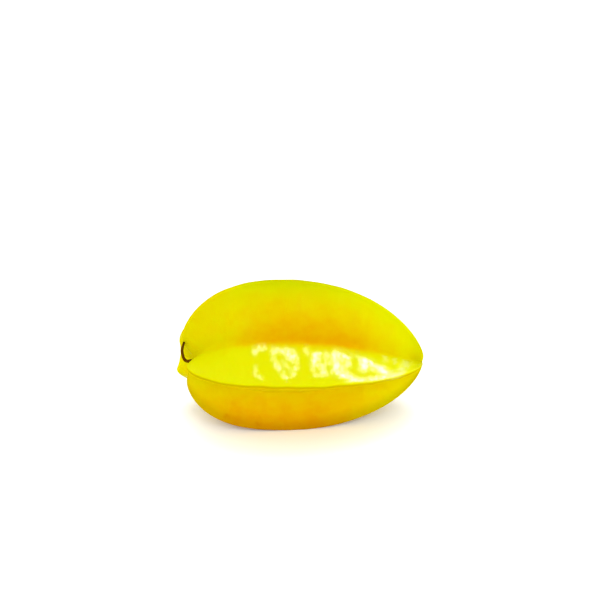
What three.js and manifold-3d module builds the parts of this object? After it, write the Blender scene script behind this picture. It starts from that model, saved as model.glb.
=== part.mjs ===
// Star fruit (carambola): a waxy five-ribbed fruit lying on its side, with its dry stalk.
// Millimetres, +Z up. The fruit lies along X with the stalk at the -X end, and rests on
// small flats pressed into its two lowest ribs.

import * as THREE from 'three';
import Module from 'manifold-3d';
import { mergeVertices } from 'three/addons/utils/BufferGeometryUtils.js';

const wasm = await Module();
wasm.setup();

// ---------------------------------------------------------------- driving dimensions

// Along the fruit, u is +1 at the stalk end, 0 at the widest place, -1 at the blossom end
const STALK_HALF = 46.6; // from the widest place to the stalk end
const BLOSSOM_HALF = 63.4; // from the widest place to the blossom end
const ARCH = 1.8; // how far the middle of the fruit stands above its two ends

// One entry a rib, in the order of its angle: 0 points to -Y and 90 points up.
// reach: how far this rib's shoulder stands beyond the common end, at the stalk.
// nose: the same at the blossom end.
// web: height of the groove after this rib at the stalk end, as a share of the crests.
const RIBS = [
  { angle: -131, height: 38.0, reach: 2.6, nose: 0.0, web: 0.35 },
  { angle: -61.5, height: 32.6, reach: -2.0, nose: 0.0, web: 0.2 },
  { angle: 7, height: 38.2, reach: -1.9, nose: 0.0, web: 0.2 },
  { angle: 88, height: 38.6, reach: 0.6, nose: 0.8, web: 0.8 },
  { angle: 159, height: 36.3, reach: 1.8, nose: 0.4, web: 0.85 },
];

// Height of the crests along the fruit, as (1 - |u|^power) ^ bluntness
const CREST_AT_STALK = { power: 2.5, bluntness: 0.43 };
const CREST_AT_BLOSSOM = { power: 2.05, bluntness: 0.63 };

// Height of the grooves as a share of the crests: the widest place, then towards each end
const GROOVE_SHARE = 0.54;
const GROOVE_AT_STALK = { power: 2.4, bluntness: 0.9 };
const GROOVE_AT_BLOSSOM = { power: 2.1, bluntness: 0.85, endShare: 0.15 };

// Section of one rib
const SWELL = 0.3; // 0: straight flanks, more: full at the foot and hollow at the crest
const CREST_HALF_THICKNESS = 0.9;
const THICKEST_CREST = 0.25; // the crest's half thickness, at most this share of the groove
const GROOVE_SOFTNESS = 0.05; // rounding of the groove between two ribs

// Hollows at the two ends
const STALK_HOLLOW = { depth: 6.3, radius: 7.4 };
const BLOSSOM_HOLLOW = { depth: 0.3, radius: 2.4 };

// Pose on the surface
const TILT = THREE.MathUtils.degToRad(3.4); // blossom end lower than the stalk end
const AXIS_AT = new THREE.Vector3(-7.94, 2.0, 26.8); // the widest place of the fruit's axis
const BLOCK = 200; // side of the block below the surface that presses the rest flats

// Stalk: a thin curved stem with a wider foot
const STALK_GAP = 0.3; // clearance between the stalk's foot and the fruit
const STALK_RADIUS = 0.66;
const STALK_FOOT_RADIUS = 0.74;
const STALK_FOOT_LENGTH = 0.06; // the share of the stalk in which the foot narrows
const STALK_END_RADIUS = 0.48;
// Its middle line, from the hollow's floor: [out along -X, forward along -Y, up]
const STALK_SPINE = [
  [0.05, 0, -0.6],
  [1.2, 0, -0.7],
  [2.3, 0.1, -0.7],
  [3.4, 0.4, 0.35],
  [4.2, 0.9, 2.6],
  [4.6, 1.7, 5.6],
  [3.9, 2.9, 9.9],
];

// Fineness of the faceted solids
const STATIONS = 42; // steps along the fruit
const END_CROWDING = 0.6; // 0: even steps, up to 1: steps crowd towards the two ends
const FLANK_STEPS = 8; // steps from a crest to the groove
const CREST_CROWDING = 1.7; // 1: even steps, more: steps crowd towards the crest
const STALK_STEPS = 14;
const STALK_SIDES = 10;

const FULL_TURN = 360;
const HALF_SECTOR = Math.PI / RIBS.length;

// ---------------------------------------------------------------- profiles

function falloff(u, { power, bluntness }) {
  return Math.max(0, 1 - Math.abs(u) ** power) ** bluntness;
}

function crestShare(u) {
  return falloff(u, u > 0 ? CREST_AT_STALK : CREST_AT_BLOSSOM);
}

function grooveShare(u, web) {
  if (u > 0) return THREE.MathUtils.lerp(web, GROOVE_SHARE, falloff(u, GROOVE_AT_STALK));
  const fading = falloff(u, GROOVE_AT_BLOSSOM);
  return THREE.MathUtils.lerp(GROOVE_AT_BLOSSOM.endShare, GROOVE_SHARE, fading);
}

// One point of a rib's flank, from the crest (step 0) to the groove (step FLANK_STEPS),
// on a rib with the given crest and groove radii. turn and rise both go from 0 to 1:
// turn from the crest round to the groove, rise from the groove out to the crest.
function flankPoint(crest, groove, step) {
  const up = 1 - (step / FLANK_STEPS) ** CREST_CROWDING;
  const footOut = groove * Math.cos(HALF_SECTOR);
  const footHalf = groove * Math.sin(HALF_SECTOR);
  const round = Math.min(CREST_HALF_THICKNESS, THICKEST_CREST * groove);
  const below = Math.min(1, ((crest - footOut) * (1 - up)) / round);
  const cap = round * Math.sqrt(1 - (1 - below) ** 2);
  const swell = (SWELL / (2 * Math.PI)) * Math.sin(2 * Math.PI * up);
  const half = footHalf * (1 - up + swell) + cap * up;
  const out = footOut + (crest - footOut) * up;
  const rise = (Math.hypot(out, half) - groove) / (crest - groove);
  return { turn: Math.atan2(half, out) / HALF_SECTOR, rise: softened(rise) };
}

// Keeps 0 and 1 in place and rounds the sharp turn at 0
function softened(rise) {
  const soften = (value) => Math.hypot(value, GROOVE_SOFTNESS) - GROOVE_SOFTNESS;
  return soften(rise) / soften(1);
}

// ---------------------------------------------------------------- fruit

// A point of the skin at u, on the side of rib that faces its neighbour other
function skinPoint(u, rib, other, step) {
  const share = crestShare(u);
  const gap = angleBetween(rib, other);
  const { web } = gap > 0 ? rib : other;
  const groove = grooveShare(u, web);
  const { turn, rise } = flankPoint(rib.height * share, rib.height * share * groove, step);
  const angle = THREE.MathUtils.degToRad(rib.angle + (turn * gap) / 2);
  // A groove takes the mean height and the mean reach of the two ribs beside it
  const height = THREE.MathUtils.lerp(rib.height, other.height, turn / 2) * share;
  const radius = height * THREE.MathUtils.lerp(groove, 1, rise);
  const shoulder = THREE.MathUtils.lerp(rib.reach, other.reach, turn / 2);
  const reach = shoulder * THREE.MathUtils.lerp(web, 1, rise);
  return new THREE.Vector3(
    alongFruit(u, radius, reach, rib.nose * rise),
    -radius * Math.cos(angle),
    radius * Math.sin(angle) + ARCH * (1 - u * u),
  );
}

function alongFruit(u, radius, reach, nose) {
  if (u > 0) return -u * (STALK_HALF + reach) + sunk(STALK_HOLLOW, reach, radius);
  return -u * (BLOSSOM_HALF + nose) - sunk(BLOSSOM_HOLLOW, nose, radius);
}

function sunk(hollow, extra, radius) {
  return (hollow.depth + extra) * Math.exp(-((radius / hollow.radius) ** 2));
}

// Signed angle in degrees from one rib to a neighbour
function angleBetween(rib, other) {
  const turn = (other.angle - rib.angle + FULL_TURN) % FULL_TURN;
  return turn > FULL_TURN / 2 ? turn - FULL_TURN : turn;
}

// The pole of the skin at one end of the fruit
function endPoint(x) {
  return placed(new THREE.Vector3(x, 0, 0));
}

function placed(point) {
  return point.applyAxisAngle(new THREE.Vector3(0, 1, 0), TILT).add(AXIS_AT);
}

// One closed line round the fruit at u
function ringAt(u) {
  return RIBS.flatMap((rib, index) => {
    const next = RIBS[(index + 1) % RIBS.length];
    const points = [];
    for (let step = 0; step < FLANK_STEPS; step++) points.push(skinPoint(u, rib, next, step));
    for (let step = FLANK_STEPS; step > 0; step--) points.push(skinPoint(u, next, rib, step));
    return points.map(placed);
  });
}

// u of the station at a share of the way from the stalk end to the blossom end
function stationAt(share) {
  const crowded = share - (END_CROWDING * Math.sin(2 * Math.PI * share)) / (2 * Math.PI);
  return Math.cos(Math.PI * crowded);
}

const STALK_POLE = STALK_HOLLOW.depth - STALK_HALF;
const BLOSSOM_POLE = BLOSSOM_HALF - BLOSSOM_HOLLOW.depth;

function fruitSkin() {
  const rings = [];
  for (let station = 1; station < STATIONS; station++) {
    rings.push(ringAt(stationAt(station / STATIONS)));
  }
  return closedSkin(endPoint(STALK_POLE), rings, endPoint(BLOSSOM_POLE));
}

// The skin with everything below the surface taken off, which leaves the rest flats
function fruitGeometry() {
  const block = new THREE.BoxGeometry(BLOCK, BLOCK, BLOCK);
  block.translate(0, 0, -BLOCK / 2);
  return geometryFrom(solidFrom(fruitSkin()).subtract(solidFromGeometry(block)));
}

// ---------------------------------------------------------------- stalk

function stalkSpine() {
  const points = STALK_SPINE.map(([out, front, up]) => {
    return placed(new THREE.Vector3(STALK_POLE - STALK_GAP - out, -front, up));
  });
  return new THREE.CatmullRomCurve3(points, false, 'centripetal');
}

// Radius along the stalk, t = 0 at the foot
function stalkRadius(t) {
  const foot = (STALK_FOOT_RADIUS - STALK_RADIUS) * Math.exp(-t / STALK_FOOT_LENGTH);
  return THREE.MathUtils.lerp(STALK_RADIUS, STALK_END_RADIUS, t * t) + foot;
}

function stalkGeometry() {
  const spine = stalkSpine();
  const { normals, binormals } = spine.computeFrenetFrames(STALK_STEPS);
  const rings = normals.map((normal, step) => {
    const t = step / STALK_STEPS;
    return circlePoints(spine.getPointAt(t), normal, binormals[step], stalkRadius(t));
  });
  return geometryFrom(solidFrom(closedSkin(spine.getPointAt(0), rings, spine.getPointAt(1))));
}

function circlePoints(centre, normal, binormal, radius) {
  return Array.from({ length: STALK_SIDES }, (_, side) => {
    const angle = (-2 * Math.PI * side) / STALK_SIDES;
    const point = centre.clone().addScaledVector(normal, radius * Math.cos(angle));
    return point.addScaledVector(binormal, radius * Math.sin(angle));
  });
}

// ---------------------------------------------------------------- solids

// A closed skin over rings of equal count, with a fan of triangles to a point at each end
function closedSkin(firstPoint, rings, lastPoint) {
  const count = rings[0].length;
  const points = [firstPoint, ...rings.flat(), lastPoint];
  const last = points.length - 1;
  const at = (ring, item) => 1 + ring * count + (item % count);
  const index = [];
  for (let item = 0; item < count; item++) {
    index.push(0, at(0, item), at(0, item + 1));
    index.push(last, at(rings.length - 1, item + 1), at(rings.length - 1, item));
    for (let ring = 0; ring < rings.length - 1; ring++) {
      const near = [at(ring, item), at(ring, item + 1)];
      const far = [at(ring + 1, item), at(ring + 1, item + 1)];
      index.push(near[0], far[0], far[1], near[0], far[1], near[1]);
    }
  }
  const positions = points.flatMap((point) => point.toArray());
  return { positions: new Float32Array(positions), index: new Uint32Array(index) };
}

function solidFrom({ positions, index }) {
  return new wasm.Manifold(
    new wasm.Mesh({ numProp: 3, vertProperties: positions, triVerts: index }),
  );
}

function solidFromGeometry(geometry) {
  const bare = geometry.clone();
  bare.deleteAttribute('normal');
  bare.deleteAttribute('uv');
  const merged = mergeVertices(bare);
  return solidFrom({
    positions: new Float32Array(merged.attributes.position.array),
    index: new Uint32Array(merged.index.array),
  });
}

function geometryFrom(solid) {
  const mesh = solid.getMesh();
  const geometry = new THREE.BufferGeometry();
  geometry.setAttribute('position', new THREE.BufferAttribute(mesh.vertProperties, 3));
  geometry.setIndex(new THREE.BufferAttribute(mesh.triVerts, 1));
  geometry.computeVertexNormals();
  return geometry;
}

// ---------------------------------------------------------------- assembly

function named(name, geometry, color, roughness) {
  const material = new THREE.MeshStandardMaterial({ color, roughness, metalness: 0 });
  const mesh = new THREE.Mesh(geometry, material);
  mesh.name = name;
  return mesh;
}

const starFruit = new THREE.Group();
starFruit.add(named('fruit', fruitGeometry(), 0xe8d808, 0.32));
starFruit.add(named('stalk', stalkGeometry(), 0x4a2b0c, 0.85));

export default starFruit;
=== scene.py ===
# Star fruit (carambola), dressed: the waxy five-ribbed fruit and its dry stalk, on a pale floor.
# Metres, +Z up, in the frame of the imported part. The fruit lies along X, stalk at the -X end.

import math

import bpy
import numpy as np
from mathutils import Matrix, Vector


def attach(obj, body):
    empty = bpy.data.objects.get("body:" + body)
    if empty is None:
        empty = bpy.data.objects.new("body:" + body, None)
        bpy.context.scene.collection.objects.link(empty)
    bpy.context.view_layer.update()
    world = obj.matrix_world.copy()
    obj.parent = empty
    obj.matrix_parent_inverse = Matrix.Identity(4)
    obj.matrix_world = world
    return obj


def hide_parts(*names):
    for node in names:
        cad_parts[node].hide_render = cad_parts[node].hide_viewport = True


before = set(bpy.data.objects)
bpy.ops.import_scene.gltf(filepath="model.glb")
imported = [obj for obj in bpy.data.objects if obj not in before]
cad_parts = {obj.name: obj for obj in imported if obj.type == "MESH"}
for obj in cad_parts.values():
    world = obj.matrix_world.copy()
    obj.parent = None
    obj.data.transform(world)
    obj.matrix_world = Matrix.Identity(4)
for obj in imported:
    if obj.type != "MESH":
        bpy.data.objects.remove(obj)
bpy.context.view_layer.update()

MM = 0.001
SEED = 5

# ---------------------------------------------------------------- shape of the fruit, as in the part

# Along the fruit, u is +1 at the stalk end, 0 at the widest place, -1 at the blossom end
STALK_HALF = 46.6 * MM
BLOSSOM_HALF = 63.4 * MM
ARCH = 1.8 * MM

# angle in degrees (0 to -Y, 90 up); height, reach and nose in mm; web is a share of the crests
RIBS = [
    {"angle": -131, "height": 38.0, "reach": 2.6, "nose": 0.0, "web": 0.35},
    {"angle": -61.5, "height": 32.6, "reach": -2.0, "nose": 0.0, "web": 0.2},
    {"angle": 7, "height": 38.2, "reach": -1.9, "nose": 0.0, "web": 0.2},
    {"angle": 88, "height": 38.6, "reach": 0.6, "nose": 0.8, "web": 0.8},
    {"angle": 159, "height": 36.3, "reach": 1.8, "nose": 0.4, "web": 0.85},
]
BACK_LOW, FRONT_LOW, FRONT, TOP, BACK_TOP = range(5)
# A flank is a rib and a side of it, 1 towards the next rib
UPPER_FRONT = (FRONT, 1)
LOWER_FRONT = (FRONT_LOW, 1)

CREST_AT_STALK = {"power": 2.5, "bluntness": 0.43}
CREST_AT_BLOSSOM = {"power": 2.05, "bluntness": 0.63}
GROOVE_SHARE = 0.54
GROOVE_AT_STALK = {"power": 2.4, "bluntness": 0.9}
GROOVE_AT_BLOSSOM = {"power": 2.1, "bluntness": 0.85, "end_share": 0.15}

SWELL = 0.3
CREST_HALF_THICKNESS = 0.9 * MM
THICKEST_CREST = 0.25
GROOVE_SOFTNESS = 0.05

STALK_HOLLOW = {"depth": 6.3 * MM, "radius": 7.4 * MM}
BLOSSOM_HOLLOW = {"depth": 0.3 * MM, "radius": 2.4 * MM}
STALK_POLE = STALK_HOLLOW["depth"] - STALK_HALF
BLOSSOM_POLE = BLOSSOM_HALF - BLOSSOM_HOLLOW["depth"]

STALK_GAP = 0.3 * MM
STALK_RADIUS = 0.66 * MM
STALK_FOOT_RADIUS = 0.74 * MM
STALK_FOOT_LENGTH = 0.06
STALK_END_RADIUS = 0.48 * MM
# out of the hollow, to the front, and up, in mm
STALK_SPINE = [
    (0.05, 0, -0.6),
    (1.2, 0, -0.7),
    (2.3, 0.1, -0.7),
    (3.4, 0.4, 0.35),
    (4.2, 0.9, 2.6),
    (4.6, 1.7, 5.6),
    (3.9, 2.9, 9.9),
]
STALK_STEPS = 110
STALK_SIDES = 28
SPINE_FINENESS = 40
STALK_FIBRES = 7
FIBRE_TWIST = 2.0  # radians along the stalk
FIBRE_DEPTH = 0.13  # as a share of the radius
KNOT_WAVES = 37  # radians along the stalk
KNOT_TWIST = 9
KNOT_DEPTH = 0.10
STALK_FULLNESS = 1.15  # the highest of the bark, as a share of the part's radius
CUT_DEPTH = 0.4  # of the sunk cut end, as a share of its radius
CUT_TONE = 1.2  # past the end of the stalk's colours, so that the cut is the darkest
STALK_FRONT = (0.0, 1.0, 0.3)  # a direction the stalk never takes

TILT = math.radians(3.4)
AXIS_AT = np.array([-7.94, 2.0, 26.8]) * MM

STATIONS = 270
END_CROWDING = 0.6
FLANK_STEPS = 34
CREST_CROWDING = 1.7
HALF_SECTOR = math.pi / len(RIBS)
FULL_TURN = 360
HALF_TURN = FULL_TURN / 2

# ---------------------------------------------------------------- relief of the skin

INSET = 0.13 * MM  # keeps the finest points of the skin inside the faceted solid's box
# Waves that run across the flanks: lengths in mm, lean and spread of their direction in radians
RIPPLE_SETS = [
    {"seed": 3, "waves": 14, "lengths": (2.5, 6), "lean": 0.2, "spread": 0.5, "slope": 0.05},
    {"seed": 316, "waves": 10, "lengths": (6, 18), "lean": 0.2, "spread": 0.9, "slope": 0.07},
]
RIPPLE_FLOOR = 0.3 * MM
CALM_CREST = (0.55, 0.95)  # up the flank, where the waves die away
CALM_UNDERSIDE = (0.0, 0.4)  # the same under the front crest
SWAY = 0.28 * MM  # how far a crest wanders to either side
SWAY_LENGTHS = (34 * MM, 19 * MM, 11 * MM)
SWAY_HOLD = 4  # how closely the wander keeps to the crest

# ---------------------------------------------------------------- colour of the skin

# Ripeness from 0, leaf green, to 1, deep orange, of each crest and of the groove after it:
# at the stalk end, in the middle and at the blossom end; then u of the middle, and its reach.
# Part of the orange is painted shade: in the grooves, under the front crest, and along the
# lower front crest, which faces the floor.
CREST_TONES = {
    BACK_LOW: (0.25, 0.75, 0.4, 0.0, 0.7),
    # deep orange along the middle of this crest, next to the floor: painted shade
    FRONT_LOW: (0.4, 1.0, 0.35, 0.12, 0.7),
    FRONT: (0.15, 0.12, 0.12, 0.0, 0.7),
    TOP: (0.35, -0.12, -0.05, 0.0, 0.55),
    BACK_TOP: (0.35, 0.2, 0.2, 0.1, 0.6),
}
GROOVE_TONES_AND_SHADE = {
    BACK_LOW: (0.5, 0.9, 0.4, 0.0, 0.7),
    FRONT_LOW: (0.3, 0.62, 0.4, 0.0, 0.7),
    FRONT: (0.36, 0.9, 0.30, -0.12, 0.60),
    TOP: (0.4, 0.6, 0.35, 0.1, 0.6),
    BACK_TOP: (0.4, 0.65, 0.4, 0.0, 0.6),
}
# How a groove's tone, with its painted shade, fades up the flank, by rib and side of the rib; more
# is quicker
GROOVE_SPREAD = {
    (BACK_LOW, 1): 1.2,
    (BACK_LOW, -1): 1.0,
    (FRONT_LOW, 1): 1.5,
    (FRONT_LOW, -1): 1.0,
    (FRONT, 1): 18.0,
    # under the front crest the groove's orange, as painted shade, reaches almost to the crest
    (FRONT, -1): 0.06,
    (TOP, 1): 1.5,
    (TOP, -1): 0.75,
    (BACK_TOP, 1): 1.2,
    (BACK_TOP, -1): 3.0,
}
TONE_EDGE = 4  # how sharply a middle tone gives way to the tones of the ends
POLE_TONE = 0.35
TOP_DARKNESS = 0.2  # of a darker green patch along the top crest
TOP_PATCH = (0.05, 0.45)  # u of its middle, and its reach
TOP_HOLD = 3  # how closely it keeps to the crest
LOWER_PAINTED_LIGHT = 0.16  # painted light: how much paler the lower front rib is away from its crest, in the shade of the front crest
LOWER_PAINTED_LIGHT_AT_STALK = 0.09
LOWER_STALK_END = (0.2, 0.7)  # in u
LOWER_PAINTED_SHADE = -0.16  # painted shade: how much darker this rib is at its crest, next to the floor
LOWER_FADE = (0.5, 1.0)  # up the flank
LUMP_PAINTED_LIGHT = 0.15  # painted light: how much paler the stalk end of the lower back rib is, where it faces down
LUMP_END = (0.5, 0.85)  # in u
END_LIGHT = 0.06  # how much paler the upper ribs are at the blossom end
BLOSSOM_END = (0.25, 0.8)  # in -u
TIP_PAINTED_SHADOW = 0.16  # painted shadow darkening the blossom end's tip
TIP = (0.85, 1.0)  # in -u
WEAR_AND_SHADE_FROM = 0.983  # up the flank, where the browner line along a crest starts: partly wear, partly painted shade at the crest's edge
WEAR_AND_SHADE = {BACK_LOW: 0.4, FRONT_LOW: 0.4, FRONT: 1.0, TOP: 0.4, BACK_TOP: 0.4}
FLANK_HEIGHT = 18  # mm from groove to crest, to measure the strokes below
# Their places on the fruit's own axes, and their radii
SCARS = [((STALK_POLE, 0, STALK_SPINE[0][2] * MM), 1.2 * MM), ((BLOSSOM_POLE, 0, 0), 0.6 * MM)]
SCAR_EDGE = 4  # how sharply a scar ends
# Wet-looking strokes of wax on the upper front flank: strength, half width in mm, and the points
# of each, as x in mm and share of the flank's height
FRONT_STROKES = [
    (0.30, 1.0, [(-10.6, 0.07), (-14.2, 0.09), (-14.3, 0.20)]),
    (0.10, 0.8, [(-14.4, 0.50), (-14.8, 0.64), (-12.4, 0.78)]),
    (0.27, 0.8, [(-6.9, 0.17), (-6.5, 0.36), (-4.0, 0.56), (-1.7, 0.76)]),
    (0.22, 1.1, [(-6.4, 0.14), (-1.0, 0.16)]),
    (0.46, 1.6, [(-0.4, 0.20), (1.8, 0.28)]),
    (0.22, 0.8, [(2.6, 0.30), (3.0, 0.50), (1.0, 0.66)]),
    (0.13, 0.7, [(-2.8, 0.36), (0.2, 0.54), (1.2, 0.68)]),
    (0.12, 1.0, [(7.8, 0.08), (8.0, 0.22)]),
    (0.48, 1.4, [(12.4, 0.22), (10.9, 0.38)]),
    (0.12, 0.8, [(10.3, 0.45), (10.5, 0.64), (14.5, 0.68)]),
    (0.40, 1.2, [(13.8, 0.45), (14.8, 0.60)]),
    (0.22, 0.8, [(16.3, 0.18), (16.3, 0.40), (18.8, 0.40), (19.4, 0.18)]),
    (0.38, 1.7, [(20.6, 0.20), (26.2, 0.19)]),
    (0.30, 1.2, [(26.3, 0.24), (25.8, 0.40)]),
    (0.16, 1.4, [(22.8, 0.30), (22.8, 0.48)]),
    (0.55, 1.3, [(20.6, 0.38), (19.9, 0.58), (23.0, 0.66)]),
    (0.30, 1.8, [(23.0, 0.66), (27.0, 0.80)]),
    (0.19, 1.5, [(25.5, 0.84), (31.0, 0.88), (42.0, 0.90), (48.0, 0.86)]),
    (0.34, 1.8, [(50.5, 0.78), (52.5, 0.55), (54.5, 0.35), (55.5, 0.10)]),
    (0.26, 0.9, [(31.1, 0.12), (32.0, 0.26)]),
    (0.50, 1.8, [(34.1, 0.30), (33.0, 0.48)]),
    (0.26, 2.1, [(36.0, 0.32), (37.0, 0.46)]),
    (0.30, 2.0, [(40.5, 0.54), (43.0, 0.68)]),
    (0.22, 2.0, [(43.0, 0.70), (43.5, 0.86)]),
    (0.12, 1.1, [(44.0, 0.12), (44.0, 0.24)]),
    (0.10, 0.9, [(49.0, 0.10), (48.2, 0.30)]),
]
# Painted highlight: strokes on the same flank where the colour is made pale, as the gloss of the wax
PAINTED_HIGHLIGHT_STROKES = [
    (0.42, 2.3, [(43.0, 0.82), (49.0, 0.86)]),
    (0.34, 1.2, [(51.0, 0.62), (51.4, 0.80)]),
    (0.28, 1.6, [(54.2, 0.22), (53.6, 0.50)]),
    (0.20, 1.1, [(44.0, 0.12), (44.0, 0.22)]),
    (0.18, 1.0, [(48.8, 0.18), (48.4, 0.33)]),
]
# Brownish pressure marks on the lower front flank
BRUISES = [
    (0.5, 1.0, [(-25.1, 0.78), (-24.4, 0.80)]),
    (0.3, 0.9, [(-21.4, 0.78), (-20.4, 0.78)]),
    (0.5, 1.1, [(-11.6, 0.80), (-10.6, 0.84)]),
]
OTHER_STROKES = {
    "count": 26,
    "along": (-42, 52),
    "up": (0.1, 0.9),
    "length": (1, 7),
    "half_width": (0.7, 2.4),
    "strength": (0.04, 0.4),
}
# Flanks that are hardly wet-looking: the share of their strokes that is left
FAINT_FLANKS = {(TOP, -1): 0.1, (FRONT_LOW, 1): 0.1, (FRONT, -1): 0.1}
SLACK_GLOSS = 0.002  # of the skin between strokes
STROKE_EDGE = 2.4  # how sharply a stroke ends
# Small waves that make the strokes ragged: how far, and their lengths, in mm
STROKE_WARP = {"seed": 8, "waves": 12, "lengths": (2.0, 5.0), "reach": 0.45}
DULL_GROOVE = 0.05
DULL_CREST = (0.955, 0.995)

# ---------------------------------------------------------------- profiles


def falloff(u, profile):
    return np.maximum(0, 1 - np.abs(u) ** profile["power"]) ** profile["bluntness"]


def lerp(a, b, t):
    return a + (b - a) * t


def smooth_step(low, high, value):
    t = np.clip((value - low) / (high - low), 0, 1)
    return t * t * (3 - 2 * t)


def crest_share(u):
    return np.where(u > 0, falloff(u, CREST_AT_STALK), falloff(u, CREST_AT_BLOSSOM))


def groove_share(u, web):
    at_stalk = lerp(web, GROOVE_SHARE, falloff(u, GROOVE_AT_STALK))
    at_blossom = lerp(GROOVE_AT_BLOSSOM["end_share"], GROOVE_SHARE, falloff(u, GROOVE_AT_BLOSSOM))
    return np.where(u > 0, at_stalk, at_blossom)


def softened(rise):
    def soften(value):
        return np.hypot(value, GROOVE_SOFTNESS) - GROOVE_SOFTNESS

    return soften(rise) / soften(1)


def flank_profile(crest, groove, step_share):
    """turn (0 at the crest, 1 at the groove) and rise (1 at the crest, 0 at the groove)."""
    up = 1 - step_share**CREST_CROWDING
    foot_out = groove * math.cos(HALF_SECTOR)
    foot_half = groove * math.sin(HALF_SECTOR)
    rounding = np.minimum(CREST_HALF_THICKNESS, THICKEST_CREST * groove)
    below = np.minimum(1, (crest - foot_out) * (1 - up) / rounding)
    cap = rounding * np.sqrt(1 - (1 - below) ** 2)
    swell = SWELL / (2 * math.pi) * np.sin(2 * math.pi * up)
    half = foot_half * (1 - up + swell) + cap * up
    out = lerp(foot_out, crest, up)
    rise = (np.hypot(out, half) - groove) / (crest - groove)
    return np.arctan2(half, out) / HALF_SECTOR, softened(rise)


def station_at(share):
    crowded = share - END_CROWDING * np.sin(2 * math.pi * share) / (2 * math.pi)
    return np.cos(math.pi * crowded)


# ---------------------------------------------------------------- fruit


def placed(points):
    """From the fruit's own axes to the row frame."""
    x, y, z = points[..., 0], points[..., 1], points[..., 2]
    turned_x = x * math.cos(TILT) + z * math.sin(TILT)
    turned_z = z * math.cos(TILT) - x * math.sin(TILT)
    return np.stack([turned_x, y, turned_z], axis=-1) + AXIS_AT


def ring_table():
    """Rib, neighbour, step share and side (+1 towards the next rib) of each point of a ring."""
    rows = []
    for index in range(len(RIBS)):
        following = (index + 1) % len(RIBS)
        rows += [(index, following, step / FLANK_STEPS, 1) for step in range(FLANK_STEPS)]
        rows += [(following, index, step / FLANK_STEPS, -1) for step in range(FLANK_STEPS, 0, -1)]
    return [np.array(column) for column in zip(*rows)]


def of_ribs(key, index, scale=1.0):
    return np.array([rib[key] for rib in RIBS])[index] * scale


def sunk(hollow, extra, radius):
    return (hollow["depth"] + extra) * np.exp(-((radius / hollow["radius"]) ** 2))


def fruit_grid():
    """Skin points in the fruit's own axes, as (station, place round the ring), with u and rise."""
    u = station_at(np.arange(1, STATIONS) / STATIONS)[:, None]
    rib, other, step_share, side = ring_table()
    share = crest_share(u)
    web = of_ribs("web", np.where(side > 0, rib, other))
    groove = groove_share(u, web)
    crest = of_ribs("height", rib, MM) * share
    turn, rise = flank_profile(crest, crest * groove, step_share)
    gap = of_ribs("angle", other) - of_ribs("angle", rib)
    gap = (gap + HALF_TURN) % FULL_TURN - HALF_TURN
    angle = np.radians(of_ribs("angle", rib) + turn * gap / 2)
    height = lerp(of_ribs("height", rib, MM), of_ribs("height", other, MM), turn / 2) * share
    radius = height * lerp(groove, 1, rise)
    reach = lerp(of_ribs("reach", rib, MM), of_ribs("reach", other, MM), turn / 2)
    reach = reach * lerp(web, 1, rise)
    nose = of_ribs("nose", rib, MM) * rise
    x = np.where(
        u > 0,
        sunk(STALK_HOLLOW, reach, radius) - u * (STALK_HALF + reach),
        -sunk(BLOSSOM_HOLLOW, nose, radius) - u * (BLOSSOM_HALF + nose),
    )
    sway = SWAY * crest_sway(x, rib) * rise**SWAY_HOLD * share
    rib_turn = np.radians(of_ribs("angle", rib))
    y = -radius * np.cos(angle) + sway * np.sin(rib_turn)
    z = radius * np.sin(angle) + sway * np.cos(rib_turn) + ARCH * (1 - u * u)
    return np.stack([x, y, z], axis=-1), u * np.ones_like(rise), rise


def crest_sway(x, rib):
    """Slow wander of a crest from side to side, from -1 to 1, its own for each rib."""
    phases = np.random.default_rng(SEED).uniform(0, 2 * math.pi, (len(SWAY_LENGTHS), len(RIBS)))
    total = 0
    for length, phase in zip(SWAY_LENGTHS, phases):
        total = total + np.sin(2 * math.pi * x / length + phase[rib])
    return total / len(SWAY_LENGTHS)


def ripple(points):
    """Height of the shallow waves that run across the flanks."""
    total = np.zeros(points.shape[:-1])
    for kind in RIPPLE_SETS:
        draw = np.random.default_rng(kind["seed"])
        shortest, longest = (math.log(length * MM) for length in kind["lengths"])
        share = kind["slope"] / (2 * math.pi * math.sqrt(kind["waves"] / 2))
        for _ in range(kind["waves"]):
            length = math.exp(draw.uniform(shortest, longest))
            turn = draw.uniform(kind["lean"] - kind["spread"], kind["lean"] + kind["spread"])
            phase = draw.uniform(0, 2 * math.pi)
            along = points[..., 0] * math.cos(turn) + points[..., 1] * math.sin(turn)
            total += share * length * np.sin(2 * math.pi * along / length + phase)
    return total


def grid_normals(points):
    along = np.gradient(points, axis=0)
    round_ring = np.roll(points, -1, axis=1) - np.roll(points, 1, axis=1)
    normals = np.cross(along, round_ring)
    return normals / np.linalg.norm(normals, axis=-1, keepdims=True)


def tone_along(u, tones, index):
    """The tone of each crest or groove at u, from its five figures."""
    at_stalk, middle, at_blossom, centre, reach = np.array([tones[i] for i in index]).T
    share = np.exp(-(((u - centre) / reach) ** TONE_EDGE))
    return lerp(np.where(u > centre, at_stalk, at_blossom), middle, share)


# Ripe tone of the skin, with painted shade in the grooves and on the undersides
def ripeness_and_painted_shade(u, rise):
    rib, other, _, side = ring_table()
    spread = np.array([GROOVE_SPREAD[r, s] for r, s in zip(rib, side)])
    crest = tone_along(u, CREST_TONES, rib)
    groove = tone_along(u, GROOVE_TONES_AND_SHADE, np.where(side > 0, rib, other))
    return lerp(crest, groove, (1 - rise) ** spread)


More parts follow.
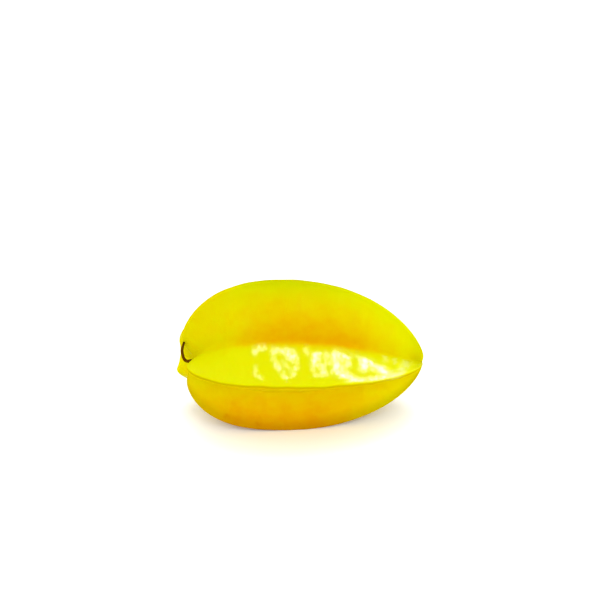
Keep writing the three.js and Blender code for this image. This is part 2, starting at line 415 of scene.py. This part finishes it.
def tone_and_painted_light(u, rise):
    """How light the skin is, where 1 is plain: its own tone, with painted light and painted shade.
    """
    rib, _, _, side = ring_table()
    middle, reach = TOP_PATCH
    top = np.where(rib == TOP, rise**TOP_HOLD, 0) * np.exp(-(((u - middle) / reach) ** 2))
    # painted light on the lower front rib, giving way to painted shade at its crest
    light = lerp(LOWER_PAINTED_LIGHT, LOWER_PAINTED_LIGHT_AT_STALK, smooth_step(*LOWER_STALK_END, u))
    lower = np.where(rib == FRONT_LOW, lerp(light, LOWER_PAINTED_SHADE, smooth_step(*LOWER_FADE, rise)), 0)
    # painted light at the stalk end of the lower back rib
    lump_painted_light = np.where(rib == BACK_LOW, LUMP_PAINTED_LIGHT, 0) * smooth_step(*LUMP_END, u)
    seen_low = (rib == FRONT_LOW) | ((rib == FRONT) & (side < 0))
    end = np.where(seen_low, 0, END_LIGHT) * smooth_step(*BLOSSOM_END, -u)
    # painted shadow over the tip of the blossom end
    tip = 1 - TIP_PAINTED_SHADOW * smooth_step(*TIP, -u)
    return (1 - TOP_DARKNESS * top) * (1 + lower) * (1 + lump_painted_light) * (1 + end) * tip


def wear_and_painted_shade(rise):
    """The browner line along each crest, partly wear and partly painted shade."""
    strength = np.array([WEAR_AND_SHADE[index] for index in ring_table()[0]])
    return strength * smooth_step(WEAR_AND_SHADE_FROM, 1, rise)


def scars(points):
    """How brown the skin is round the foot of the stalk and at the blossom scar."""
    stain = np.zeros(points.shape[:-1])
    for centre, radius in SCARS:
        away = np.linalg.norm(points - np.array(centre), axis=-1)
        stain = np.maximum(stain, np.exp(-((away / radius) ** SCAR_EDGE)))
    return stain


def random_strokes(draw):
    """Strokes of wax for a flank, mostly across it."""
    kind = OTHER_STROKES
    strokes = []
    for _ in range(kind["count"]):
        middle = np.array([draw.uniform(*kind["along"]), draw.uniform(*kind["up"])])
        length, turn = draw.uniform(*kind["length"]), draw.normal(0, 0.5)
        step = np.array([math.sin(turn), math.cos(turn) / FLANK_HEIGHT]) * length / 2
        ends = [tuple(middle - step), tuple(middle + step)]
        strokes.append((draw.uniform(*kind["strength"]), draw.uniform(*kind["half_width"]), ends))
    return strokes


def ragged(place):
    """Places in mm on a flank, each moved a little by waves in all directions."""
    draw = np.random.default_rng(STROKE_WARP["seed"])
    reach = STROKE_WARP["reach"] / math.sqrt(STROKE_WARP["waves"] / 2)
    moved = place.copy()
    for _ in range(STROKE_WARP["waves"]):
        length = draw.uniform(*STROKE_WARP["lengths"])
        turn = draw.uniform(0, math.pi)
        phase, heading = draw.uniform(0, 2 * math.pi, 2)
        along = place @ np.array([math.cos(turn), math.sin(turn)])
        wave = np.sin(2 * math.pi * along / length + phase)
        moved += reach * wave[..., None] * np.array([math.cos(heading), math.sin(heading)])
    return moved


def stroke_cover(x, rise, strokes):
    """How wet-looking the skin is, from 0 to 1, at x in metres and rise."""
    place = ragged(np.stack([x / MM, rise * FLANK_HEIGHT], axis=-1))
    cover = np.zeros_like(x)
    for strength, half_width, points in strokes:
        for start, end in zip(points, points[1:]):
            first = np.array([start[0], start[1] * FLANK_HEIGHT])
            way = np.array([end[0], end[1] * FLANK_HEIGHT]) - first
            share = np.clip((place - first) @ way / (way @ way), 0, 1)
            off = np.linalg.norm(place - first - share[..., None] * way, axis=-1) / half_width
            cover = np.maximum(cover, strength * np.exp(-(off**STROKE_EDGE)))
    return cover


def flank_cover(x, rise, flank, strokes):
    """The cover of strokes on one flank, given as its rib and side, and 0 on the others."""
    rib, _, _, side = ring_table()
    here = (rib == flank[0]) & (side == flank[1])
    cover = np.zeros_like(x)
    cover[:, here] = stroke_cover(x[:, here], rise[:, here], strokes)
    return cover


def gloss(x, rise):
    """1 where the skin looks wet, little between, and less in a groove and on a worn crest."""
    cover = np.zeros_like(x)
    for number, flank in enumerate(GROOVE_SPREAD):
        draw = np.random.default_rng(SEED + number)
        own = FRONT_STROKES if flank == UPPER_FRONT else random_strokes(draw)
        cover += FAINT_FLANKS.get(flank, 1) * flank_cover(x, rise, flank, own)
    wet = lerp(SLACK_GLOSS, 1, cover)
    return wet * (1 - np.exp(-rise / DULL_GROOVE)) * (1 - smooth_step(*DULL_CREST, rise))


def grid_faces(rings, count):
    """Quads between rings of equal count, and a fan to a point at each end. Point 0 comes first."""
    faces = []
    last = 1 + rings * count
    for item in range(count):
        following = (item + 1) % count
        faces.append((0, 1 + item, 1 + following))
        faces.append((last, last - count + following, last - count + item))
        for ring in range(rings - 1):
            near, far = 1 + ring * count, 1 + (ring + 1) * count
            faces.append((near + item, far + item, far + following, near + following))
    return faces


def make_object(name, points, faces):
    mesh = bpy.data.meshes.new(name)
    mesh.from_pydata([tuple(p) for p in points], [], faces)
    mesh.shade_smooth()
    mesh.update()
    made = bpy.data.objects.new(name, mesh)
    bpy.context.scene.collection.objects.link(made)
    return made


def add_attribute(obj, name, first, values, last):
    """Stores one value a point: of the first point, of the rings, and of the last point."""
    layer = obj.data.attributes.new(name, "FLOAT", "POINT")
    whole = np.concatenate([[first], np.ravel(values), [last]])
    layer.data.foreach_set("value", whole.astype(np.float32))


def build_fruit():
    grid, u, rise = fruit_grid()
    rib, _, _, side = ring_table()
    under = (rib == FRONT) & (side < 0)
    waves_left = 1 - smooth_step(*CALM_CREST, rise)
    waves_left = np.where(under, 1 - smooth_step(*CALM_UNDERSIDE, rise), waves_left)
    calm = waves_left * np.sqrt(1 - u**2)
    inward = INSET - np.minimum(0, ripple(grid) - RIPPLE_FLOOR) * calm
    grid = grid - grid_normals(grid) * inward[..., None]
    poles = [np.array([[STALK_POLE, 0, 0]]), np.array([[BLOSSOM_POLE, 0, 0]])]
    points = placed(np.vstack([poles[0], grid.reshape(-1, 3), poles[1]]))
    points[:, 2] = np.maximum(points[:, 2], 0)
    fruit = make_object("fruit_skin", points, grid_faces(*u.shape))
    x = grid[..., 0]
    add_attribute(fruit, "ripeness_and_painted_shade", POLE_TONE, ripeness_and_painted_shade(u, rise), POLE_TONE)
    add_attribute(fruit, "tone_and_painted_light", 1, tone_and_painted_light(u, rise), 1)
    add_attribute(fruit, "wear_and_painted_shade", 0, wear_and_painted_shade(rise), 0)
    add_attribute(fruit, "scar", 1, scars(grid), 1)
    add_attribute(fruit, "bruise", 0, flank_cover(x, rise, LOWER_FRONT, BRUISES), 0)
    add_attribute(fruit, "painted_highlight", 0, flank_cover(x, rise, UPPER_FRONT, PAINTED_HIGHLIGHT_STROKES), 0)
    add_attribute(fruit, "gloss", 0, gloss(x, rise), 0)
    return fruit


# ---------------------------------------------------------------- stalk


def spine_segment(before, start, end, after, shares):
    """A centripetal Catmull-Rom curve from start to end."""
    knots = [0.0]
    for near, far in ((before, start), (start, end), (end, after)):
        knots.append(knots[-1] + np.linalg.norm(far - near) ** 0.5)
    place = lerp(knots[1], knots[2], shares)[:, None]

    def between(a, b, first, last):
        return lerp(a, b, (place - knots[first]) / (knots[last] - knots[first]))

    pairs = ((before, start), (start, end), (end, after))
    nearer = [between(a, b, i, i + 1) for i, (a, b) in enumerate(pairs)]
    halves = [between(nearer[0], nearer[1], 0, 2), between(nearer[1], nearer[2], 1, 3)]
    return between(halves[0], halves[1], 1, 2)


def stalk_spine():
    """Points along the middle of the stalk, evenly spaced, from the foot to the cut end."""
    foot = np.array([STALK_POLE - STALK_GAP, 0, 0])
    at = foot + np.array(STALK_SPINE) * (-MM, -MM, MM)
    whole = np.vstack([2 * at[0] - at[1], at, 2 * at[-1] - at[-2]])
    shares = np.linspace(0, 1, SPINE_FINENESS, endpoint=False)
    pieces = [spine_segment(*whole[i : i + 4], shares) for i in range(len(at) - 1)]
    fine = np.vstack([*pieces, at[-1:]])
    length = np.concatenate([[0], np.cumsum(np.linalg.norm(np.diff(fine, axis=0), axis=1))])
    even = np.linspace(0, length[-1], STALK_STEPS + 1)
    return placed(np.stack([np.interp(even, length, fine[:, axis]) for axis in range(3)], axis=-1))


def stalk_radius(t):
    foot = (STALK_FOOT_RADIUS - STALK_RADIUS) * np.exp(-t / STALK_FOOT_LENGTH)
    return lerp(STALK_RADIUS, STALK_END_RADIUS, t * t) + foot


def build_stalk():
    """The dry stalk, with fibres along it and shallow knots, and a sunk cut end."""
    spine = stalk_spine()
    tangent = np.gradient(spine, axis=0)
    tangent /= np.linalg.norm(tangent, axis=1, keepdims=True)
    t = np.linspace(0, 1, STALK_STEPS + 1)[:, None]
    angle = 2 * math.pi * np.arange(STALK_SIDES)[None, :] / STALK_SIDES
    side = np.cross(tangent, STALK_FRONT)
    side /= np.linalg.norm(side, axis=1, keepdims=True)
    front = np.cross(tangent, side)
    fibre = 0.5 + 0.5 * np.cos(STALK_FIBRES * angle + FIBRE_TWIST * t)
    knots = 0.5 + 0.5 * np.sin(KNOT_WAVES * t) * np.cos(angle - KNOT_TWIST * t)
    radius = stalk_radius(t) * (STALK_FULLNESS - FIBRE_DEPTH * fibre - KNOT_DEPTH * knots)
    ring = side[:, None] * np.cos(angle)[..., None] + front[:, None] * np.sin(angle)[..., None]
    grid = spine[:, None] + ring * radius[..., None]
    cut = spine[-1] - tangent[-1] * CUT_DEPTH * STALK_END_RADIUS
    points = np.vstack([spine[:1], grid.reshape(-1, 3), cut[None]])
    stalk = make_object("stalk_wood", points, grid_faces(STALK_STEPS + 1, STALK_SIDES))
    add_attribute(stalk, "along", 0, np.broadcast_to(t, fibre.shape), CUT_TONE)
    add_attribute(stalk, "fibre", 0, fibre, 0.5)
    return stalk


# ---------------------------------------------------------------- materials


def new_material(name):
    material = bpy.data.materials.new(name)
    material.use_nodes = True
    nodes, links = material.node_tree.nodes, material.node_tree.links
    return material, nodes, links, nodes["Principled BSDF"]


def attribute_of(nodes, name):
    node = nodes.new("ShaderNodeAttribute")
    node.attribute_name = name
    return node.outputs["Fac"]


def math_of(nodes, links, operation, *values):
    node = nodes.new("ShaderNodeMath")
    node.operation = operation
    for socket, value in zip(node.inputs, values):
        if isinstance(value, (int, float)):
            socket.default_value = value
        else:
            links.new(value, socket)
    return node.outputs["Value"]


# Sockets of a mix node that takes colours: its two inputs and its output
MIX_FIRST, MIX_SECOND, MIX_RESULT = 6, 7, 2


def mixed(nodes, links, blend, share, first, second):
    """first blended with second, which is a socket or a colour, by a share from 0 to 1."""
    node = nodes.new("ShaderNodeMix")
    node.data_type = "RGBA"
    node.blend_type = blend
    links.new(share, node.inputs["Factor"])
    links.new(first, node.inputs[MIX_FIRST])
    if isinstance(second, tuple):
        node.inputs[MIX_SECOND].default_value = (*second, 1)
    else:
        links.new(second, node.inputs[MIX_SECOND])
    return node.outputs[MIX_RESULT]


def noise_of(nodes, links, kind):
    """Noise whose cells measure about the given lengths, in mm, along x, y and z."""
    place = nodes.new("ShaderNodeTexCoord")
    stretch = nodes.new("ShaderNodeMapping")
    stretch.inputs["Scale"].default_value = [1 / (length * MM) for length in kind["lengths"]]
    noise = nodes.new("ShaderNodeTexNoise")
    noise.inputs["Scale"].default_value = 1.0
    noise.inputs["Detail"].default_value = kind["detail"]
    noise.inputs["Roughness"].default_value = kind["rough"]
    links.new(place.outputs["Object"], stretch.inputs["Vector"])
    links.new(stretch.outputs["Vector"], noise.inputs["Vector"])
    return noise.outputs["Fac"]


def bump_of(nodes, links, height, distance):
    node = nodes.new("ShaderNodeBump")
    node.inputs["Distance"].default_value = distance
    links.new(height, node.inputs["Height"])
    return node.outputs["Normal"]


def ramp_of(nodes, links, value, stops):
    node = nodes.new("ShaderNodeValToRGB")
    elements = node.color_ramp.elements
    for element, (place, colour) in zip((elements[0], elements[1]), (stops[0], stops[-1])):
        element.position = place
        element.color = (*colour, 1)
    for place, colour in stops[1:-1]:
        elements.new(place).color = (*colour, 1)
    links.new(value, node.inputs["Fac"])
    return node.outputs["Color"]


RIPE_COLOURS = [
    (0.0, (0.46, 0.489, 0.0)),
    (0.15, (0.489, 0.489, 0.0)),
    (0.4, (0.504, 0.427, 0.0)),
    (0.7, (0.511, 0.332, 0.0)),
    (1.0, (0.504, 0.226, 0.0)),
]
BLOTCHES = {"lengths": (7, 5, 5), "detail": 4.0, "rough": 0.6}
BLOTCH_REACH = 0.42  # how far they move the ripeness, from one end to the other
# colour of the crest line: wear with painted shade
CREST_STAIN_AND_SHADE = (0.76, 0.60, 1.0)
BRUISE_STAIN = (0.86, 0.62, 1.0)
# pale colour of the painted highlight
PAINTED_HIGHLIGHT_WAX = (0.57, 0.58, 0.30)
SCAR_BROWN = (0.16, 0.07, 0.01)
WAVELETS = {"lengths": (1.6, 5, 5), "detail": 2.0, "rough": 0.5}
WAVELET_HEIGHT = 0.10 * MM
STREAKS = {"lengths": (1.1, 2.2, 2.2), "detail": 3.0, "rough": 0.5}
STREAK_CONTRAST = 4.6  # of the gloss within a wet stroke
STREAK_LEVEL = 1.0
GLOSS_LEVEL = 0.22
DRY_ROUGHNESS = 0.4
WET_ROUGHNESS = 0.13
WET_FROM = 0.25  # the least gloss that is as smooth as it gets
FLESH_SHARE = 0.3  # how much of the light goes through the skin into the flesh
FLESH_RADIUS = (1.0, 0.5, 0.1)
FLESH_DEPTH = 2.5 * MM


def skin_colour(nodes, links):
    blotches = noise_of(nodes, links, BLOTCHES)
    # ripe tone, partly painted shade
    ripeness_and_painted_shade = attribute_of(nodes, "ripeness_and_painted_shade")
    tone = math_of(nodes, links, "MULTIPLY_ADD", blotches, BLOTCH_REACH, ripeness_and_painted_shade)
    tone = math_of(nodes, links, "SUBTRACT", tone, BLOTCH_REACH / 2)
    ripe = ramp_of(nodes, links, tone, RIPE_COLOURS)
    # the crest line, partly wear and partly painted shade
    worn_and_shaded = mixed(nodes, links, "MULTIPLY", attribute_of(nodes, "wear_and_painted_shade"), ripe, CREST_STAIN_AND_SHADE)
    bruised = mixed(nodes, links, "MULTIPLY", attribute_of(nodes, "bruise"), worn_and_shaded, BRUISE_STAIN)
    # painted highlight, mixed into the colour
    painted_highlight = mixed(nodes, links, "MIX", attribute_of(nodes, "painted_highlight"), bruised, PAINTED_HIGHLIGHT_WAX)
    scarred = mixed(nodes, links, "MIX", attribute_of(nodes, "scar"), painted_highlight, SCAR_BROWN)
    # the colour scaled by the skin's tone with its painted light and painted shade
    shaded = nodes.new("ShaderNodeVectorMath")
    shaded.operation = "SCALE"
    links.new(scarred, shaded.inputs[0])
    links.new(attribute_of(nodes, "tone_and_painted_light"), shaded.inputs["Scale"])
    return shaded.outputs["Vector"]


def skin_material():
    material, nodes, links, shader = new_material("waxy_skin")
    links.new(skin_colour(nodes, links), shader.inputs["Base Color"])
    wavelets = bump_of(nodes, links, noise_of(nodes, links, WAVELETS), WAVELET_HEIGHT)
    links.new(wavelets, shader.inputs["Normal"])

    wet = attribute_of(nodes, "gloss")
    middle = STREAK_LEVEL - STREAK_CONTRAST / 2
    streaks = noise_of(nodes, links, STREAKS)
    streaks = math_of(nodes, links, "MULTIPLY_ADD", streaks, STREAK_CONTRAST, middle)
    level = math_of(nodes, links, "MULTIPLY", wet, streaks)
    level = math_of(nodes, links, "MULTIPLY", level, GLOSS_LEVEL)
    links.new(level, shader.inputs["Specular IOR Level"])
    wetness = math_of(nodes, links, "MINIMUM", math_of(nodes, links, "DIVIDE", wet, WET_FROM), 1.0)
    smoother = WET_ROUGHNESS - DRY_ROUGHNESS
    roughness = math_of(nodes, links, "MULTIPLY_ADD", wetness, smoother, DRY_ROUGHNESS)
    links.new(roughness, shader.inputs["Roughness"])

    shader.inputs["Subsurface Weight"].default_value = FLESH_SHARE
    shader.inputs["Subsurface Radius"].default_value = FLESH_RADIUS
    shader.inputs["Subsurface Scale"].default_value = FLESH_DEPTH
    return material


# From the foot of the stalk to its cut end
STALK_COLOURS = [
    (0.0, (0.14, 0.055, 0.001)),
    (0.12, (0.11, 0.041, 0.001)),
    (0.9, (0.092, 0.031, 0.001)),
    (1.0, (0.05, 0.016, 0.001)),
]
SPECKS = {"lengths": (0.5, 0.5, 1.2), "detail": 3.0, "rough": 0.5}
SPECK_REACH = 0.2  # how far the specks move the colour along the stalk
FIBRE_HEIGHT = 0.4  # of the fibres, as a share of the specks'
BARK_HEIGHT = 0.08 * MM
BARK_ROUGHNESS = 0.7
BARK_GLOSS = 0.0


def stalk_material():
    material, nodes, links, shader = new_material("dry_stalk")
    specks = noise_of(nodes, links, SPECKS)
    along = math_of(nodes, links, "SUBTRACT", attribute_of(nodes, "along"), SPECK_REACH / 2)
    tone = math_of(nodes, links, "MULTIPLY_ADD", specks, SPECK_REACH, along)
    links.new(ramp_of(nodes, links, tone, STALK_COLOURS), shader.inputs["Base Color"])
    fibres = math_of(nodes, links, "MULTIPLY", attribute_of(nodes, "fibre"), FIBRE_HEIGHT)
    bark = math_of(nodes, links, "SUBTRACT", specks, fibres)
    links.new(bump_of(nodes, links, bark, BARK_HEIGHT), shader.inputs["Normal"])
    shader.inputs["Roughness"].default_value = BARK_ROUGHNESS
    shader.inputs["Specular IOR Level"].default_value = BARK_GLOSS
    return material


# ---------------------------------------------------------------- stage

IMAGE_SIZE = 600  # pixels, both ways
PIXELS_PER_METRE = 2240  # at the widest place of the fruit
WIDEST_PLACE_PIXEL = (283.2, 360.7)
CAMERA_AZIMUTH = math.radians(-5.2)
CAMERA_ELEVATION = math.radians(25)
CAMERA_DISTANCE = 0.65
CAMERA_NEAREST = 0.01
SENSOR = 36.0

# The window overhead, sloping down behind the fruit, which shows only in the gloss of the skin
WINDOW_START = (0.25, -0.20, 0.855)
WINDOW_END = (0.25, 0.75, 0.12)
WINDOW_WIDTH = 1.7
WINDOW_RADIANCE = 50
# Soft lights that do not show in the gloss: where they are, their size, and watts
SOFTBOXES = {
    "key": ((0.42, -0.84, 0.50), 0.8, 3.5),
    "overhead": ((0.00, 0.20, 1.05), 0.8, 3.25),
    "fill": ((-0.75, -0.40, 0.45), 0.6, 1.0),
}
LIT_PLACE = (0, 0, 0.03)
SKY_STRENGTH = 1.30
FLOOR_GREY = 0.97
FLOOR_ROUGHNESS = 0.9
FLOOR_SIZE = 8
FLOOR_DROP = 0.05 * MM  # below the part, so that the two never coincide


def add_camera():
    camera = bpy.data.cameras.new("camera")
    camera.sensor_width = SENSOR
    camera.lens = SENSOR * PIXELS_PER_METRE * CAMERA_DISTANCE / IMAGE_SIZE
    camera.clip_start = CAMERA_NEAREST
    made = bpy.data.objects.new("camera", camera)
    bpy.context.scene.collection.objects.link(made)
    sin_a, cos_a = math.sin(CAMERA_AZIMUTH), math.cos(CAMERA_AZIMUTH)
    sin_e, cos_e = math.sin(CAMERA_ELEVATION), math.cos(CAMERA_ELEVATION)
    back = Vector((sin_a * cos_e, -cos_a * cos_e, sin_e))
    right = Vector((cos_a, sin_a, 0))
    up = back.cross(right)
    across = (WIDEST_PLACE_PIXEL[0] - IMAGE_SIZE / 2) / PIXELS_PER_METRE
    above = (IMAGE_SIZE / 2 - WIDEST_PLACE_PIXEL[1]) / PIXELS_PER_METRE
    made.location = Vector(AXIS_AT) + back * CAMERA_DISTANCE - right * across - up * above
    made.rotation_mode = "QUATERNION"
    made.rotation_quaternion = (-back).to_track_quat("-Z", "Y")
    bpy.context.scene.camera = made


def add_floor():
    bpy.ops.mesh.primitive_plane_add(size=FLOOR_SIZE, location=(0, 0, -FLOOR_DROP))
    floor = bpy.context.object
    floor.name = "floor"
    material, _, _, shader = new_material("floor")
    shader.inputs["Base Color"].default_value = (FLOOR_GREY, FLOOR_GREY, FLOOR_GREY, 1)
    shader.inputs["Roughness"].default_value = FLOOR_ROUGHNESS
    shader.inputs["Specular IOR Level"].default_value = 0.0
    floor.data.materials.append(material)


def add_area_light(name, centre, size, power):
    light = bpy.data.lights.new(name, "AREA")
    light.shape = "RECTANGLE"
    light.size, light.size_y = size
    light.energy = power
    made = bpy.data.objects.new(name, light)
    bpy.context.scene.collection.objects.link(made)
    made.location = centre
    made.rotation_mode = "QUATERNION"
    made.rotation_quaternion = (Vector(LIT_PLACE) - Vector(centre)).to_track_quat("-Z", "Y")
    return made


def add_window():
    """A long light that faces the fruit and shows only in its gloss."""
    long_axis = Vector(WINDOW_END) - Vector(WINDOW_START)
    centre = (Vector(WINDOW_START) + Vector(WINDOW_END)) / 2
    power = WINDOW_RADIANCE * math.pi * WINDOW_WIDTH * long_axis.length
    window = add_area_light("window", centre, (WINDOW_WIDTH, long_axis.length), power)
    facing = Vector(LIT_PLACE) - centre
    facing -= facing.project(long_axis)
    across = long_axis.cross(-facing)
    axes = Matrix([across.normalized(), long_axis.normalized(), -facing.normalized()]).transposed()
    window.rotation_quaternion = axes.to_quaternion()
    window.visible_diffuse = False


def add_softboxes():
    for name, (centre, size, power) in SOFTBOXES.items():
        add_area_light(name, centre, (size, size), power).visible_glossy = False


def add_sky():
    world = bpy.data.worlds.new("studio")
    bpy.context.scene.world = world
    world.use_nodes = True
    background = world.node_tree.nodes["Background"]
    background.inputs["Color"].default_value = (1, 1, 1, 1)
    background.inputs["Strength"].default_value = SKY_STRENGTH


# ---------------------------------------------------------------- the scene


def add_piece(piece, material, node):
    piece.data.materials.append(material)
    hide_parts(node)
    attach(piece, "root")


add_piece(build_fruit(), skin_material(), "fruit")
add_piece(build_stalk(), stalk_material(), "stalk")
add_camera()
add_floor()
add_window()
add_softboxes()
add_sky()
bpy.context.scene.view_settings.view_transform = "Standard"
